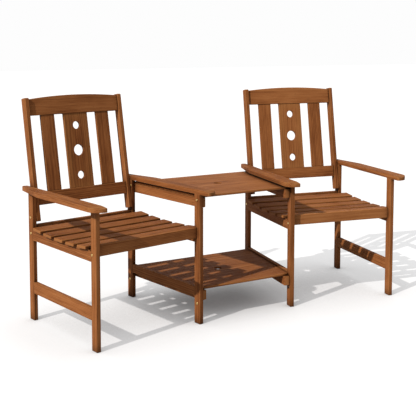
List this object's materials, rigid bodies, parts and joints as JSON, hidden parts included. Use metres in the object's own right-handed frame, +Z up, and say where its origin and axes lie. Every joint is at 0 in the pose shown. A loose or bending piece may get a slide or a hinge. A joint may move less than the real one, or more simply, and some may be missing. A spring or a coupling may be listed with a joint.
{
  "type": "companion seat bench",
  "caption": "Wooden companion bench: slatted armchairs turned slightly together, joined by a shared table with a lower shelf and a parasol hole.",
  "frame": {"origin": "on the floor, at the middle of the bench's plan box", "axes": "+Z up, +X along the bench's width to the sitter's left, -Y to the front, where the sitters face"},
  "size_m": [1.6614, 0.7253, 0.9271],
  "materials": {
    "oiled_hardwood": "oiled, satin",
    "brassed_bolt": "yellow-plated",
    "zinc_nut": "zinc-plated"
  },
  "bodies": {
    "root": {"barrel_nuts": "zinc_nut", "cross_rail_bolts": "brassed_bolt", "left_centre_back_slat": "oiled_hardwood", "left_front_apron": "oiled_hardwood", "left_front_inner_leg": "oiled_hardwood", "left_front_outer_leg": "oiled_hardwood", "left_inner_arm": "oiled_hardwood", "left_inner_back_slat": "oiled_hardwood", "left_inner_back_stile": "oiled_hardwood", "left_inner_seat_rail": "oiled_hardwood", "left_inner_stretcher": "oiled_hardwood", "left_lower_back_rail": "oiled_hardwood", "left_outer_arm": "oiled_hardwood", "left_outer_back_slat": "oiled_hardwood", "left_outer_back_stile": "oiled_hardwood", "left_outer_seat_rail": "oiled_hardwood", "left_outer_stretcher": "oiled_hardwood", "left_rear_inner_leg": "oiled_hardwood", "left_rear_outer_leg": "oiled_hardwood", "left_rear_seat_rail": "oiled_hardwood", "left_seat_slat_1": "oiled_hardwood", "left_seat_slat_2": "oiled_hardwood", "left_seat_slat_3": "oiled_hardwood", "left_seat_slat_4": "oiled_hardwood", "left_seat_slat_5": "oiled_hardwood", "left_shelf_rail": "oiled_hardwood", "left_table_rail": "oiled_hardwood", "left_top_back_rail": "oiled_hardwood", "lower_leg_bolts": "brassed_bolt", "lower_leg_nuts": "zinc_nut", "right_centre_back_slat": "oiled_hardwood", "right_front_apron": "oiled_hardwood", "right_front_inner_leg": "oiled_hardwood", "right_front_outer_leg": "oiled_hardwood", "right_inner_arm": "oiled_hardwood", "right_inner_back_slat": "oiled_hardwood", "right_inner_back_stile": "oiled_hardwood", "right_inner_seat_rail": "oiled_hardwood", "right_inner_stretcher": "oiled_hardwood", "right_lower_back_rail": "oiled_hardwood", "right_outer_arm": "oiled_hardwood", "right_outer_back_slat": "oiled_hardwood", "right_outer_back_stile": "oiled_hardwood", "right_outer_seat_rail": "oiled_hardwood", "right_outer_stretcher": "oiled_hardwood", "right_rear_inner_leg": "oiled_hardwood", "right_rear_outer_leg": "oiled_hardwood", "right_rear_seat_rail": "oiled_hardwood", "right_seat_slat_1": "oiled_hardwood", "right_seat_slat_2": "oiled_hardwood", "right_seat_slat_3": "oiled_hardwood", "right_seat_slat_4": "oiled_hardwood", "right_seat_slat_5": "oiled_hardwood", "right_shelf_rail": "oiled_hardwood", "right_table_rail": "oiled_hardwood", "right_top_back_rail": "oiled_hardwood", "shelf_board": "oiled_hardwood", "stile_bolts": "brassed_bolt", "table_rail_bolts": "brassed_bolt", "table_top": "oiled_hardwood"}
  },
  "joints": []
}
